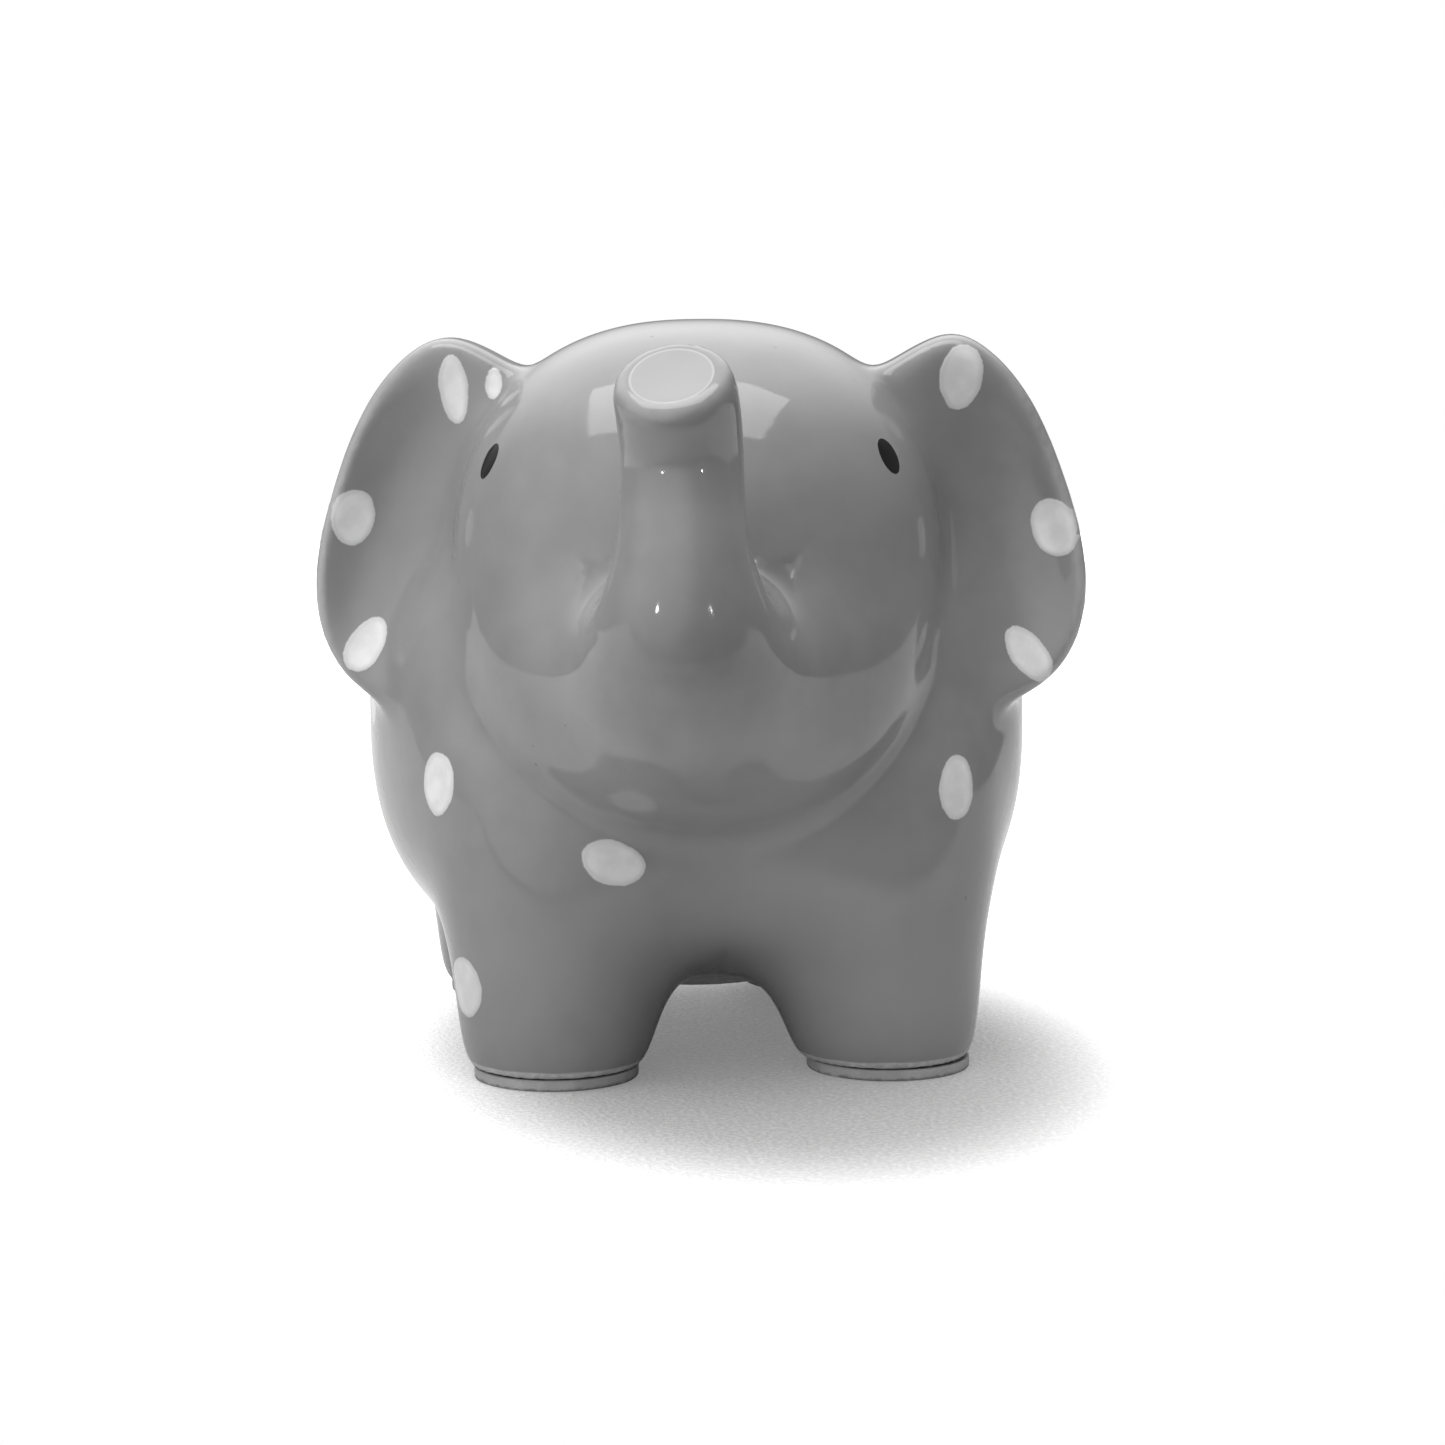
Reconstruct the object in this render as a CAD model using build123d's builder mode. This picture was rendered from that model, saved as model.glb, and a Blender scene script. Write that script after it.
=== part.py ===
"""Elephant coin bank: a hollow glazed ceramic elephant with a coin slot in its back,
a rubber stopper in its belly and a foam pad under each foot.

Millimetres, +Z up. The elephant faces -Y and stands on z = 0, with the origin under the
middle of its bounding box. "left" and "right" are the elephant's own: its left is +X.
"""
import os
from math import copysign, cos, pi, sin

from build123d import *

# Ceramic
WALL = 4.0
GAP_UNDER_FEET = 2.3          # foam pad and its adhesive

# Body: a squarish egg, the same superellipse rule in plan and in height
BODY_CENTRE_X = 1.0
BODY_CENTRE_Y = 16.5
BODY_CENTRE_Z = 60.0
BODY_HALF_WIDTH = 61.0
BODY_HALF_LENGTH = 60.0
BODY_HALF_HEIGHT = 48.3
BODY_SQUARENESS = 2.6
BODY_LOWEST_SLICE = -0.97     # share of the half height where the belly is cut flat
BODY_HIGHEST_SLICE = 0.996

# Head: a squarish ball, turned a little to the elephant's right
HEAD_PIVOT_X = 0.6
HEAD_PIVOT_Y = -3.5
HEAD_FORWARD_OF_PIVOT = 10.0
HEAD_CENTRE_Z = 89.0
HEAD_RADIUS = 44.1
HEAD_HALF_HEIGHT = 45.8
HEAD_SQUARENESS = 2.4
HEAD_TURN = -9.0
HEAD_TILT = -0.4

# Legs
LEG_SPACING_X = 59.6
FRONT_LEG_Y = -25.5
REAR_LEG_Y = 56.5
LEG_RIM_RADIUS = 15.0
LEG_RIM_HEIGHT = 0.8
LEG_ANKLE_RADIUS = 17.3
LEG_ANKLE_HEIGHT = 6.0
LEG_KNEE_RADIUS = 20.0
LEG_KNEE_HEIGHT = 20.0
LEG_RADIUS = 21.5
LEG_THIGH_HEIGHT = 36.0
LEG_TOP_RADIUS = 17.0
LEG_TOP_HEIGHT = 56.0
LEG_LEAN_X = 7.0              # how far the leg's top leans in over its foot
LEG_LEAN_Y = 11.0

# Trunk, in the head's own frame: from inside the face, forward, up and forward again
TRUNK_ROUTE = [(0, -34, -9), (0, -52, -8), (0, -61, 2), (0, -60, 18), (0, -65, 37.5)]
TRUNK_RADII = [(0, 18), (0.25, 15.5), (0.5, 12.0), (0.75, 10.2), (1, 10.0)]
TRUNK_TIP_ROUNDING = 2.0

# Ears, in the head's own frame: slices from the ear's back to its rim, then down into its dish
EAR_X = 42.8
EAR_Y = 3.0
EAR_Z = 9.1
EAR_TILT = 19.0
EAR_HALF_WIDTH = 24.4
EAR_HALF_HEIGHT = 35.2
EAR_SQUARENESS = 2.5
EAR_SLICES = [(-6, 0.62), (-4, 0.84), (-1, 0.96), (3, 1.0), (5, 0.97)]
EAR_DISH_SLICES = [(6, 1.5), (4, 3.5), (1, 6), (-1, 10), (-1.5, 16)]

# Tail: from inside the rump, back and down
TAIL_ROUTE = [(68.5, 84), (76.5, 80), (81, 70), (81.5, 58)]
TAIL_RADII = [(0, 5), (0.5, 3.8), (1, 4.6)]
TAIL_TIP_ROUNDING = 3.0

# Coin slot, across the back
SLOT_LENGTH = 36.0
SLOT_WIDTH = 5.0
SLOT_Y = 45.5

# Belly hole and its rubber stopper
HOLE_RADIUS = 15.0
STOPPER_CLEARANCE = 0.05
STOPPER_FLANGE_RADIUS = 18.5
STOPPER_FLANGE_THICKNESS = 2.4
STOPPER_FLANGE_ROUNDING = 0.8
STOPPER_PLUG_HEIGHT = 7.5
STOPPER_LEAD_IN = 0.8
STOPPER_WALL = 3.0
STOPPER_GRIP_LENGTH = 16.0
STOPPER_GRIP_WIDTH = 5.0
STOPPER_GRIP_OFFSET = 4.5
STOPPER_GRIP_DEPTH = 1.4

# Feet: side, place along the body, and how far its pad is stuck on off centre
PAD_RADIUS = 14.8
PAD_THICKNESS = 2.0
ADHESIVE_RADIUS = 14.2
FEET = {
    "front_left": (1, FRONT_LEG_Y, 0.8),
    "front_right": (-1, FRONT_LEG_Y, 0),
    "rear_left": (1, REAR_LEG_Y, -0.4),
    "rear_right": (-1, REAR_LEG_Y, 0),
}

BELLY_Z = BODY_CENTRE_Z + BODY_LOWEST_SLICE * BODY_HALF_HEIGHT

head_pivot = Location((HEAD_PIVOT_X, HEAD_PIVOT_Y, HEAD_CENTRE_Z), (0, 0, HEAD_TURN))
head_centre = Location((0, -HEAD_FORWARD_OF_PIVOT, 0), (0, HEAD_TILT, 0))
HEAD = Plane(head_pivot * head_centre)


def superellipse(half_x, half_y, squareness, steps=32):
    """Points round a superellipse, which is an ellipse at squareness 2 and squarer above it."""
    points = []
    for step in range(steps):
        across, along = cos(2 * pi * step / steps), sin(2 * pi * step / steps)
        x = half_x * copysign(abs(across) ** (2 / squareness), across)
        y = half_y * copysign(abs(along) ** (2 / squareness), along)
        points.append((x, y))
    return points


def slice_scale(height_share, squareness):
    """How wide a superellipse still is at a share of its half height."""
    return (1 - abs(height_share) ** squareness) ** (1 / squareness)


def finish(builder, name):
    """Label a finished sub-part and write its STEP file."""
    builder.part.label = name
    export_step(builder.part, f"parts/{name}.step")


def make_torso(inset):
    """The body without head and legs, made smaller all round by the inset."""
    shares = [BODY_LOWEST_SLICE, -0.88, -0.68, -0.35, 0, 0.35, 0.68, 0.88, 0.965, BODY_HIGHEST_SLICE]
    with BuildPart() as torso:
        for share in shares:
            height = BODY_CENTRE_Z + share * (BODY_HALF_HEIGHT - inset)
            scale_here = slice_scale(share, BODY_SQUARENESS)
            half_x = (BODY_HALF_WIDTH - inset) * scale_here
            half_y = (BODY_HALF_LENGTH - inset) * scale_here
            with BuildSketch(Plane((BODY_CENTRE_X, BODY_CENTRE_Y, height))):
                with BuildLine():
                    Spline(*superellipse(half_x, half_y, BODY_SQUARENESS), periodic=True)
                make_face()
        loft()
    return torso.part


def make_skull(inset):
    """The head without trunk and ears, made smaller all round by the inset."""
    radius = HEAD_RADIUS - inset
    half_height = HEAD_HALF_HEIGHT - inset
    quarter = [point for point in superellipse(radius, half_height, HEAD_SQUARENESS) if point[0] > 0.01]
    profile = [(0, -half_height)] + sorted(quarter, key=lambda point: point[1]) + [(0, half_height)]
    with BuildPart() as skull:
        with BuildSketch(Plane(HEAD.origin, x_dir=HEAD.x_dir, z_dir=-HEAD.y_dir)):
            with BuildLine():
                Spline(*profile, tangents=[(1, 0), (-1, 0)])
                Line((0, half_height), (0, -half_height))
            make_face()
        revolve(axis=Axis(HEAD.origin, HEAD.z_dir))
    return skull.part


def make_leg(side, foot_y, lean_y, inset):
    """A leg whose top leans in towards the middle of the body."""
    floor = GAP_UNDER_FEET + inset
    stations = [
        (floor, LEG_RIM_RADIUS),
        (floor + LEG_RIM_HEIGHT, LEG_RIM_RADIUS + 0.6),
        (floor + LEG_ANKLE_HEIGHT, LEG_ANKLE_RADIUS),
        (LEG_KNEE_HEIGHT + inset, LEG_KNEE_RADIUS),
        (LEG_THIGH_HEIGHT, LEG_RADIUS),
        (LEG_TOP_HEIGHT, LEG_TOP_RADIUS),
    ]
    with BuildPart() as leg:
        for height, radius in stations:
            climb = (height - floor) / (LEG_TOP_HEIGHT - floor)
            centre_x = BODY_CENTRE_X + side * (LEG_SPACING_X / 2 - LEG_LEAN_X * climb)
            with BuildSketch(Plane((centre_x, foot_y + lean_y * climb, height))):
                Circle(radius - inset)
        loft()
    return leg.part


def make_solid_bank(inset):
    """Body, head and legs as one solid."""
    with BuildPart() as bank:
        add(make_torso(inset))
        add(make_skull(inset))
        for side in (-1, 1):
            add(make_leg(side, FRONT_LEG_Y, LEG_LEAN_Y, inset))
            add(make_leg(side, REAR_LEG_Y, -LEG_LEAN_Y, inset))
    return bank.part


os.makedirs("parts", exist_ok=True)

outer_skin = make_solid_bank(0)

with BuildPart() as ceramic_body:
    add(outer_skin)
    add(make_solid_bank(WALL), mode=Mode.SUBTRACT)
    with BuildSketch(Plane((BODY_CENTRE_X, SLOT_Y, BODY_CENTRE_Z))):
        SlotOverall(SLOT_LENGTH, SLOT_WIDTH)
    extrude(amount=2 * BODY_HALF_HEIGHT, mode=Mode.SUBTRACT)
    with BuildSketch(Plane((BODY_CENTRE_X, BODY_CENTRE_Y, 0))):
        Circle(HOLE_RADIUS)
    extrude(amount=BODY_CENTRE_Z, mode=Mode.SUBTRACT)
finish(ceramic_body, "ceramic_body")

with BuildPart() as trunk:
    with BuildLine() as trunk_line:
        Spline(*[HEAD.from_local_coords(Vector(*point)) for point in TRUNK_ROUTE])
    for share, radius in TRUNK_RADII:
        with BuildSketch(Plane(trunk_line.line @ share, z_dir=trunk_line.line % share)):
            Circle(radius)
    loft()
    fillet(trunk.faces().sort_by(Axis.Z)[-1].edges(), TRUNK_TIP_ROUNDING)
    add(outer_skin, mode=Mode.SUBTRACT)
finish(trunk, "trunk")

for side, name in ((1, "left_ear"), (-1, "right_ear")):
    ear_place = Location((side * EAR_X, EAR_Y, EAR_Z), (90, 0, 0)) * Location((0, 0, 0), (0, 0, side * EAR_TILT))
    ear_plane = Plane(HEAD.location * ear_place)
    with BuildPart() as ear:
        for depth, share in EAR_SLICES:
            with BuildSketch(ear_plane.offset(depth)):
                with BuildLine():
                    Spline(*superellipse(share * EAR_HALF_WIDTH, share * EAR_HALF_HEIGHT, EAR_SQUARENESS), periodic=True)
                make_face()
        loft()
        for depth, inset in EAR_DISH_SLICES:
            with BuildSketch(ear_plane.offset(depth)):
                with BuildLine():
                    Spline(*superellipse(EAR_HALF_WIDTH - inset, EAR_HALF_HEIGHT - inset, EAR_SQUARENESS), periodic=True)
                make_face()
        loft(mode=Mode.SUBTRACT)
        add(outer_skin, mode=Mode.SUBTRACT)
    finish(ear, name)

with BuildPart() as tail:
    with BuildLine() as tail_line:
        Spline(*[(BODY_CENTRE_X, y, z) for y, z in TAIL_ROUTE])
    for share, radius in TAIL_RADII:
        with BuildSketch(Plane(tail_line.line @ share, z_dir=tail_line.line % share)):
            Circle(radius)
    loft()
    fillet(tail.faces().sort_by(Axis.Z)[0].edges(), TAIL_TIP_ROUNDING)
    add(outer_skin, mode=Mode.SUBTRACT)
finish(tail, "tail")

with BuildPart() as stopper:
    with BuildSketch(Plane((BODY_CENTRE_X, BODY_CENTRE_Y, BELLY_Z - STOPPER_FLANGE_THICKNESS))):
        Circle(STOPPER_FLANGE_RADIUS)
    extrude(amount=STOPPER_FLANGE_THICKNESS)
    fillet(stopper.edges().group_by(Axis.Z)[0], STOPPER_FLANGE_ROUNDING)
    with BuildSketch(Plane((BODY_CENTRE_X, BODY_CENTRE_Y, BELLY_Z))):
        Circle(HOLE_RADIUS - STOPPER_CLEARANCE)
    extrude(amount=STOPPER_PLUG_HEIGHT)
    chamfer(stopper.edges().group_by(Axis.Z)[-1], STOPPER_LEAD_IN)
    with BuildSketch(Plane((BODY_CENTRE_X, BODY_CENTRE_Y, BELLY_Z + STOPPER_PLUG_HEIGHT))):
        Circle(HOLE_RADIUS - STOPPER_WALL)
    extrude(amount=-STOPPER_PLUG_HEIGHT, mode=Mode.SUBTRACT)
    with BuildSketch(Plane((BODY_CENTRE_X, BODY_CENTRE_Y, BELLY_Z - STOPPER_FLANGE_THICKNESS))):
        with Locations((0, STOPPER_GRIP_OFFSET), (0, -STOPPER_GRIP_OFFSET)):
            SlotOverall(STOPPER_GRIP_LENGTH, STOPPER_GRIP_WIDTH)
    extrude(amount=STOPPER_GRIP_DEPTH, mode=Mode.SUBTRACT)
finish(stopper, "stopper")

for foot, (side, foot_y, slip) in FEET.items():
    foot_x = BODY_CENTRE_X + side * LEG_SPACING_X / 2
    with BuildPart() as foot_pad:
        with BuildSketch(Plane((foot_x + slip, foot_y, 0))):
            Circle(PAD_RADIUS)
        extrude(amount=PAD_THICKNESS)
    finish(foot_pad, f"foot_pad_{foot}")
    with BuildPart() as pad_adhesive:
        with BuildSketch(Plane((foot_x + slip, foot_y, PAD_THICKNESS))):
            Circle(ADHESIVE_RADIUS)
        extrude(amount=GAP_UNDER_FEET - PAD_THICKNESS)
    finish(pad_adhesive, f"pad_adhesive_{foot}")
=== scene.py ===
"""A glazed ceramic elephant coin bank: one smooth hollow casting with slip dots, on four foam pads,
with a rubber stopper."""

from concurrent.futures import ThreadPoolExecutor
from math import cos, radians, sin

import bmesh
import bpy
import numpy as np
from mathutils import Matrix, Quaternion, Vector


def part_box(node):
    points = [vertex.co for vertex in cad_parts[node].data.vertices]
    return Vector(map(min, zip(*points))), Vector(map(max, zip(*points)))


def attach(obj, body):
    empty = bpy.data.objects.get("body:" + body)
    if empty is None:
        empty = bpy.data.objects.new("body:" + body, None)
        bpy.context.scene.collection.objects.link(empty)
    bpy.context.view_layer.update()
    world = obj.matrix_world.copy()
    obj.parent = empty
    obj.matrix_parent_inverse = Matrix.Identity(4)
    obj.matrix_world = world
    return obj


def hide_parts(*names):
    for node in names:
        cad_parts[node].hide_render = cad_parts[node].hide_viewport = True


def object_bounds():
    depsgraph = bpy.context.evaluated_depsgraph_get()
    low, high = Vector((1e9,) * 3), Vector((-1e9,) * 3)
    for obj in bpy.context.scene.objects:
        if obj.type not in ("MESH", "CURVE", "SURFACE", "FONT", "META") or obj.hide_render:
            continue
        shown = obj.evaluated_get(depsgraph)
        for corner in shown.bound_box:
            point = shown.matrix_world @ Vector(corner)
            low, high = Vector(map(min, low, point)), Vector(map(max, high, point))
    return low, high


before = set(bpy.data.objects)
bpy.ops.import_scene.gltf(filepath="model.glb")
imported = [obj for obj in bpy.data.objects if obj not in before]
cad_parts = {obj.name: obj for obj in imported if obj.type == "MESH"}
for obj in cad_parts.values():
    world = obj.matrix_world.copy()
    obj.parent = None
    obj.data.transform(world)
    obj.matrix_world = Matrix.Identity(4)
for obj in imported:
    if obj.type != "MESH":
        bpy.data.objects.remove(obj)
cad_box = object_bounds()
MM = 0.001

# ---------------------------------------------------------------- camera
CAMERA_DISTANCE = 0.700      # over the table, from the origin
CAMERA_HEIGHT = 0.1491
CAMERA_TURN = radians(6.4)   # towards the elephant's right-hand side
CAMERA_ROLL = radians(-0.3)
CAMERA_AIM = Vector((0.0046, -0.0005, 0.0600))
CAMERA_LENS = 94.7
SENSOR_WIDTH = 36.0


def make_camera():
    place = Vector((-sin(CAMERA_TURN) * CAMERA_DISTANCE, -cos(CAMERA_TURN) * CAMERA_DISTANCE,
                    CAMERA_HEIGHT))
    data = bpy.data.cameras.new("camera")
    data.lens = CAMERA_LENS
    data.sensor_width = SENSOR_WIDTH
    data.clip_start = 0.01
    camera = bpy.data.objects.new("camera", data)
    bpy.context.scene.collection.objects.link(camera)
    look = (CAMERA_AIM - place).to_track_quat("-Z", "Y")
    camera.rotation_mode = "QUATERNION"
    camera.rotation_quaternion = look @ Quaternion((0, 0, 1), CAMERA_ROLL)
    camera.location = place
    bpy.context.scene.camera = camera


make_camera()

# ---------------------------------------------------------------- the elephant's shape, in millimetres
# The shape is a distance field: below zero inside the glazed surface, above zero outside it.
WALL, WALL_BLEND = 4.0, 1.0
FLOOR, SOLE_BLEND = 2.3, 0.6  # underside of the ceramic feet, held up by the foam pads

TORSO_CENTRE, TORSO_RADII, TORSO_POWER = (1.0, 16.5, 60.0), (61.0, 60.0, 48.3), 2.6
MIDDLE_X = 1.0
SKIRT_RADII, SKIRT_POWER, SKIRT_BLEND = (47.0, 24.0, 25.0), 3.2, 9.0
SKIRT_Z, FRONT_SKIRT_Y, REAR_SKIRT_Y = 48.0, -19.0, 50.0

FOOT_X, FRONT_FOOT_Y, REAR_FOOT_Y = 29.8, -25.5, 56.5
LEG_TOP, LEG_LEAN_IN, LEG_LEAN_ALONG, LEG_BLEND, LEG_TOP_BLEND = 56.0, 4.0, 7.0, 18.0, 16.0
FOOT_RADIUS, LEG_SWELL, SWELL_OVER, SOLE_TUCK, TUCK_OVER = 16.0, 6.3, 22.0, 1.0, 1.5

HEAD_PIVOT, HEAD_TURN, HEAD_TILT, HEAD_FORWARD = (0.6, -3.5, 89.0), -9.0, 0.4, 10.0
HEAD_RADII, HEAD_POWER, NECK_BLEND = (44.1, 43.5, 45.8), 2.4, 6.0

TRUNK_ROUTE = ((0, -20, -10), (0, -36, -12), (0, -49, -10), (0, -57.5, -2), (0, -60, 8), (0, -59.1, 17),
               (0, -58.9, 25), (-0.4, -61.7, 32), (-1.2, -66.3, 38.2))
TRUNK_RADII = (26.0, 24.0, 20.0, 15.2, 11.6, 10.4, 10.2, 10.3, 10.1)
JAW_CENTRE, JAW_RADII, JAW_POWER, JAW_BLEND = (0.0, -15.0, -15.0), (37.5, 33.0, 28.5), 2.3, 10.0
TRUNK_BLEND_FREE, TRUNK_BLEND_ROOT, ROOT_FROM, ROOT_TO = 8.0, 18.0, 6.0, -16.0
TIP_BLEND, TIP_DIP, TIP_HOLLOW, TIP_HOLLOW_RADIUS, TIP_HOLLOW_BLEND = 6.0, 0.10, 0.28, 6.9, 0.5
TIP_REACH, OFF_THE_TIP = 3.0, 9.0

EAR_CENTRE, EAR_RADII, EAR_POWER, EAR_TILT = (42.8, 3.0, 9.1), (24.4, 35.2), 2.5, 19.0
EAR_ROOT, EAR_EDGE, EAR_BLEND, EAR_RIM_BLEND = 9.0, 3.6, 6.0, 6.0
EAR_THINS_FROM, EAR_THINS_OVER, EAR_MIDDLE, EAR_SWEEP = 30.0, 42.0, 1.0, 2.5
DISH_CENTRE, DISH_RADII, DISH_DEPTH, DISH_BLEND = (55.5, 8.0), (13.5, 31.0), 6.0, 3.5
DISH_SLOPE = 0.8             # turns depth into distance where the dish is steep
EAR_SHOULDER, EAR_SHOULDER_AT, EAR_SHOULDER_BLEND = (-0.514, 0.857), (44.0, 43.5), 7.0
RIGHT_EAR_HIGHER = 1.1

TAIL_ROUTE = ((1, 66, 86), (1, 73, 84), (1, 79, 77), (1, 81.3, 68), (1, 81.5, 58))
TAIL_RADII = (6.5, 4.6, 3.7, 3.9, 4.6)
TAIL_BLEND = 5.0

SLOT_Y, SLOT_LENGTH, SLOT_WIDTH, SLOT_LOWEST, SLOT_BLEND = 45.5, 36.0, 5.0, 60.0, 1.6
HOLE_RADIUS, HOLE_HIGHEST, HOLE_BLEND = 15.0, 40.0, 1.2
SEAT_RADIUS, SEAT_BLEND = 19.1, 1.0


def smooth_union(a, b, blend):
    share = np.maximum(blend - np.abs(a - b), 0.0) / blend
    return np.minimum(a, b) - share ** 3 * blend / 6.0


def smooth_common(a, b, blend):
    return -smooth_union(-a, -b, blend)


def eased(share):
    """The share, held between nothing and all of it, with a soft start and end."""
    share = np.clip(share, 0, 1)
    return share ** 2 * (3 - 2 * share)


def superellipse(parts, radii, power):
    """Roughly the distance to a superellipse or superellipsoid; parts are the coordinates from its centre."""
    scaled = [np.maximum(np.abs(part) / radius, 1e-6) for part, radius in zip(parts, radii)]
    gauge = sum(part ** power for part in scaled) ** (1.0 / power)
    slope = sum(((part / gauge) ** (power - 1) / radius) ** 2 for part, radius in zip(scaled, radii)) ** 0.5
    return (gauge - 1.0) / slope


def spans_through(points, radii):
    """A smooth curve through the points, one cubic for each span, with the radius as a fourth coordinate."""
    knots = np.column_stack([points, radii])
    padded = np.vstack([2 * knots[0] - knots[1], knots, 2 * knots[-1] - knots[-2]])
    a, b, c, d = (padded[i:len(padded) - 3 + i] for i in range(4))
    return np.stack([b, (c - a) / 2, a - 2.5 * b + 2 * c - d / 2, (3 * b - a - 3 * c + d) / 2], 1)


def on_curve(spans, share):
    """Places, radii, directions and bends along the curve; share counts spans from its start."""
    span = np.clip(share.astype(int), 0, len(spans) - 1)
    t = (share - span)[:, None]
    a, b, c, d = (spans[span, i] for i in range(4))
    place = a + t * (b + t * (c + t * d))
    return place[:, :3], place[:, 3], (b + t * (2 * c + 3 * t * d))[:, :3], (2 * c + 6 * t * d)[:, :3]


def tube(p, spans, samples=6, refined_within=25.0):
    """Distance to a round tube along the curve: the nearest sample, moved along to the nearest point."""
    shares = np.arange(len(spans) * samples + 1) / samples
    places, radii, _, _ = on_curve(spans, shares)
    apart = ((p[:, None] - places[None]) ** 2).sum(-1)
    nearest = apart.argmin(1)
    distance = np.sqrt(apart[np.arange(len(p)), nearest]) - radii[nearest]
    close = np.flatnonzero(distance < refined_within)
    share = shares[nearest[close]]
    for _ in range(4):
        place, _, direction, bend = on_curve(spans, share)
        away = p[close] - place
        speed = (direction ** 2).sum(-1)
        slide = (away * direction).sum(-1) / np.maximum(speed - (away * bend).sum(-1), 0.3 * speed)
        share = np.clip(share + np.clip(slide, -0.2, 0.2), 0, len(spans))
    place, radius, _, _ = on_curve(spans, share)
    distance[close] = np.linalg.norm(p[close] - place, axis=1) - radius
    return distance


TRUNK = spans_through(TRUNK_ROUTE, TRUNK_RADII)
TAIL = spans_through(TAIL_ROUTE, TAIL_RADII)
TIP, _, TIP_AXIS, _ = (end[0] for end in on_curve(TRUNK, np.array([float(len(TRUNK))])))
TIP_AXIS = TIP_AXIS / np.linalg.norm(TIP_AXIS)


def in_head(p):
    """The points in the head's own frame: turned about the pivot, moved forward, then tilted a little."""
    turn, tilt = radians(HEAD_TURN), radians(HEAD_TILT)
    x, y, z = (p - HEAD_PIVOT).T
    x, y = cos(turn) * x + sin(turn) * y, -sin(turn) * x + cos(turn) * y + HEAD_FORWARD
    return np.column_stack([cos(tilt) * x + sin(tilt) * z, y, -sin(tilt) * x + cos(tilt) * z])


def leg(x, y, z, foot_y, lean):
    climb = np.clip((z - FLOOR) / (LEG_TOP - FLOOR), 0, 1.2)
    rise = np.maximum(z - FLOOR, 0)
    radius = FOOT_RADIUS + LEG_SWELL * (1 - np.exp(-rise / SWELL_OVER))
    radius -= SOLE_TUCK * np.exp(-rise / TUCK_OVER)
    column = np.hypot(x - FOOT_X + LEG_LEAN_IN * climb, y - foot_y - lean * climb) - radius
    return smooth_common(column, z - LEG_TOP, LEG_TOP_BLEND)


def ear(head):
    x, forward, z = np.abs(head[:, 0]), EAR_CENTRE[1] - head[:, 1], head[:, 2]
    tilt = radians(EAR_TILT)
    across, up = x - EAR_CENTRE[0], z - EAR_CENTRE[2]
    outline = superellipse((cos(tilt) * across + sin(tilt) * up, cos(tilt) * up - sin(tilt) * across),
                           EAR_RADII, EAR_POWER)
    top = EAR_SHOULDER_AT[1] + RIGHT_EAR_HIGHER * (head[:, 0] < 0)
    shoulder = EAR_SHOULDER[0] * (x - EAR_SHOULDER_AT[0]) + EAR_SHOULDER[1] * (z - top)
    outline = smooth_common(outline, shoulder, EAR_SHOULDER_BLEND)
    outward = eased((x - EAR_THINS_FROM) / EAR_THINS_OVER)
    half = EAR_ROOT + (EAR_EDGE - EAR_ROOT) * outward
    middle = EAR_MIDDLE + EAR_SWEEP * outward
    solid = smooth_common(outline, np.abs(forward - middle) - half, EAR_RIM_BLEND)
    across, up = x - DISH_CENTRE[0], z - DISH_CENTRE[1]
    across, up = cos(tilt) * across + sin(tilt) * up, cos(tilt) * up - sin(tilt) * across
    out_from_middle = (across / DISH_RADII[0]) ** 2 + (up / DISH_RADII[1]) ** 2
    dish = (middle + half - DISH_DEPTH * (1 - out_from_middle) - forward) * DISH_SLOPE
    return smooth_common(solid, -dish, DISH_BLEND)


def trunk(head):
    column = tube(head, TRUNK)
    along = (head - TIP) @ TIP_AXIS
    off = head - TIP - along[:, None] * TIP_AXIS
    off = np.sqrt(np.einsum("ij,ij->i", off, off))
    hollow = along + TIP_DIP + TIP_HOLLOW * (1 - (off / TIP_HOLLOW_RADIUS) ** 2)
    return smooth_common(smooth_common(column, along, TIP_BLEND), hollow, TIP_HOLLOW_BLEND)


def from_tip_rim(p):
    """Signed distance from the crisp rim round the trunk's end, below zero on the face inside it."""
    away = in_head(p) - TIP
    along = away @ TIP_AXIS
    off = np.linalg.norm(away - along[:, None] * TIP_AXIS, axis=1)
    return np.where(np.abs(along) < TIP_REACH, off - TIP_HOLLOW_RADIUS, OFF_THE_TIP)


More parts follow.
